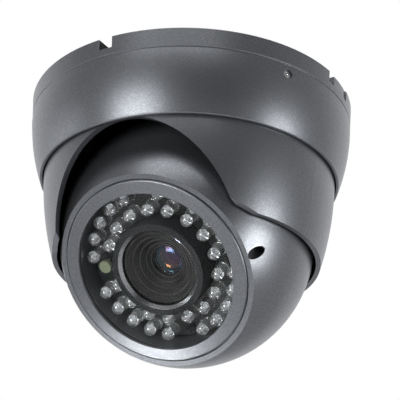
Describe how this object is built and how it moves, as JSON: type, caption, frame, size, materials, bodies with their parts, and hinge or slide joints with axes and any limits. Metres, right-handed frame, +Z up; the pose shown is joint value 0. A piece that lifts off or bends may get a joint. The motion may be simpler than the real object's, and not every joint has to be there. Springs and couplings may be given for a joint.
{
  "type": "dome cctv camera",
  "caption": "Ceiling turret camera: a ball with a lens and rings of LEDs behind flat glass tilts in an arched shell, which turns in a round base with a cover ring.",
  "frame": {"origin": "centre of the ceiling screws' circle, in the plane of the ceiling face", "axes": "+Z up into the ceiling, which is also the pan axis; -Y where the lens looks at rest, 46.25 degrees below the horizontal; +X to the right when the lens is seen from in front, along the tilt axis"},
  "size_m": [0.13, 0.13, 0.1097],
  "materials": {
    "body_paint": "satin",
    "stainless": "satin",
    "nylon": "matte",
    "rubber_black": "matte",
    "zinc_steel": "satin",
    "window_glass": "gloss",
    "board": "satin",
    "led_epoxy": "gloss",
    "photocell_face": "gloss",
    "shroud_black": "satin",
    "lens_black": "matte",
    "lens_glass": "gloss",
    "sensor_chip": "gloss",
    "brass_post": "satin",
    "ring_black": "satin",
    "can_metal": "satin",
    "connector_white": "matte"
  },
  "bodies": {
    "base": {"base_housing": "body_paint", "cover_ring": "body_paint", "cover_screws": "stainless", "side_entry_plug": "body_paint", "cable_grommet": "rubber_black", "slide_ring": "nylon"},
    "turret": {"turret_shell": "body_paint", "yoke_screws": "stainless"},
    "yoke": {"yoke": "zinc_steel"},
    "ball": {"ball_front_shell": "body_paint", "ball_rear_shell": "body_paint", "shell_seal": "rubber_black", "shell_screws": "stainless", "pivot_screws": "stainless", "pivot_washers": "nylon", "lock_screws": "stainless", "bezel_ring": "body_paint", "front_glass": "window_glass", "glass_gasket": "rubber_black", "led_board": "board", "leds_outer": "led_epoxy", "leds_inner": "led_epoxy", "led_board_screws": "stainless", "photocell": "photocell_face", "lens_shroud": "shroud_black", "lens_barrel": "lens_black", "front_element": "lens_glass", "middle_element": "lens_glass", "rear_element": "lens_glass", "lens_holder": "shroud_black", "sensor_board": "board", "image_sensor": "sensor_chip", "power_board": "board", "board_posts_front": "brass_post", "board_posts_rear": "brass_post", "board_screws": "stainless", "capacitors": "can_metal", "board_connectors": "connector_white", "rear_gland": "rubber_black"},
    "focus_ring": {"focus_ring": "ring_black", "focus_lever": "stainless"},
    "zoom_ring": {"zoom_ring": "ring_black", "zoom_lever": "stainless"}
  },
  "joints": [
    {"name": "pan", "type": "hinge", "parent": "base", "child": "turret", "pos_m": [0, 0, 0], "axis": [0, 0, 1], "range_deg": [-174, 174]},
    {"name": "yoke_swing", "type": "hinge", "parent": "turret", "child": "yoke", "pos_m": [0, 0, 0], "axis": [0, 0, 1], "range_deg": [-2.5, 13.5]},
    {"name": "tilt", "type": "hinge", "parent": "yoke", "child": "ball", "pos_m": [0, 0, -0.05977], "axis": [1, 0, 0], "range_deg": [-31.25, 43.75]},
    {"name": "focus", "type": "hinge", "parent": "ball", "child": "focus_ring", "pos_m": [0, 0, -0.05977], "axis": [0, -0.6915, -0.7224], "range_deg": [-40, 40]},
    {"name": "zoom", "type": "hinge", "parent": "ball", "child": "zoom_ring", "pos_m": [0, 0, -0.05977], "axis": [0, -0.6915, -0.7224], "range_deg": [-45, 45]}
  ]
}
